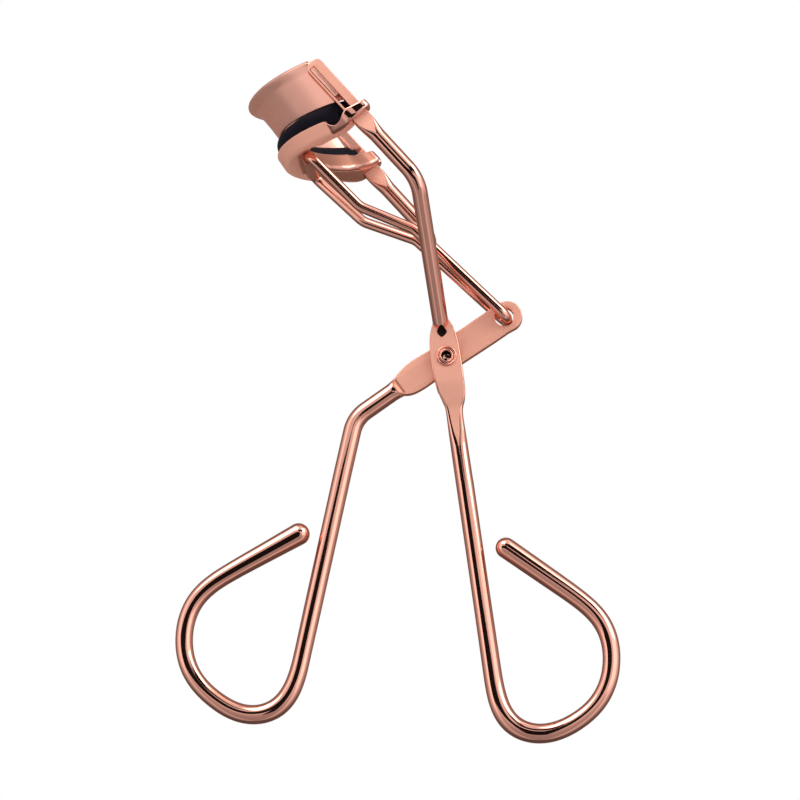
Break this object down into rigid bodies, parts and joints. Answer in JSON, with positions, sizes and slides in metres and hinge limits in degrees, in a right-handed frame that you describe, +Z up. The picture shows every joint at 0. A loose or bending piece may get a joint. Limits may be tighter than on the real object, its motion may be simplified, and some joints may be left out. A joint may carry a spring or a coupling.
{
  "type": "eyelash curler",
  "caption": "Scissor-style eyelash curler: wire posts carry a fixed curved jaw, and a lever and link slide a padded lower jaw up to it.",
  "frame": {"origin": "centre of the pivot rivet, on the mid-plane between the two pivot plates", "axes": "+Z up towards the jaws, +X towards the fixed handle, +Y along the rivet from the front plate to the rear plate; drawn with the jaws closed"},
  "size_m": [0.0659, 0.0356, 0.0998],
  "materials": {
    "wire": "polished rose-gold plating",
    "sheet": "satin rose-gold plating",
    "pad": "smooth, nearly black"
  },
  "bodies": {
    "frame": {"front_rod": "wire", "rear_rod": "wire", "upper_jaw": "sheet", "pivot_rivet": "sheet"},
    "lever_arm": {"lever": "wire"},
    "sliding_jaw": {"lower_jaw": "sheet", "jaw_pad": "pad", "link_knuckle": "sheet"},
    "link": {"drive_link": "wire"}
  },
  "joints": [
    {"name": "lever_hinge", "type": "hinge", "parent": "frame", "child": "lever_arm", "pos_m": [0, 0, 0], "axis": [0, 1, 0], "range_deg": [0, 36]},
    {"name": "jaw_slide", "type": "slide", "parent": "frame", "child": "sliding_jaw", "axis": [0.6626, 0, -0.749], "range_m": [0, 0.0055]},
    {"name": "link_hinge", "type": "hinge", "parent": "sliding_jaw", "child": "link", "pos_m": [-0.02033, 0, 0.02998], "axis": [0, 1, 0], "range_deg": [0, 3.8]}
  ],
  "couplings": [
    {"joint": "jaw_slide", "follows": "lever_hinge", "m_per_rad": 0.008568},
    {"joint": "link_hinge", "follows": "lever_hinge", "ratio": 0.1012}
  ]
}
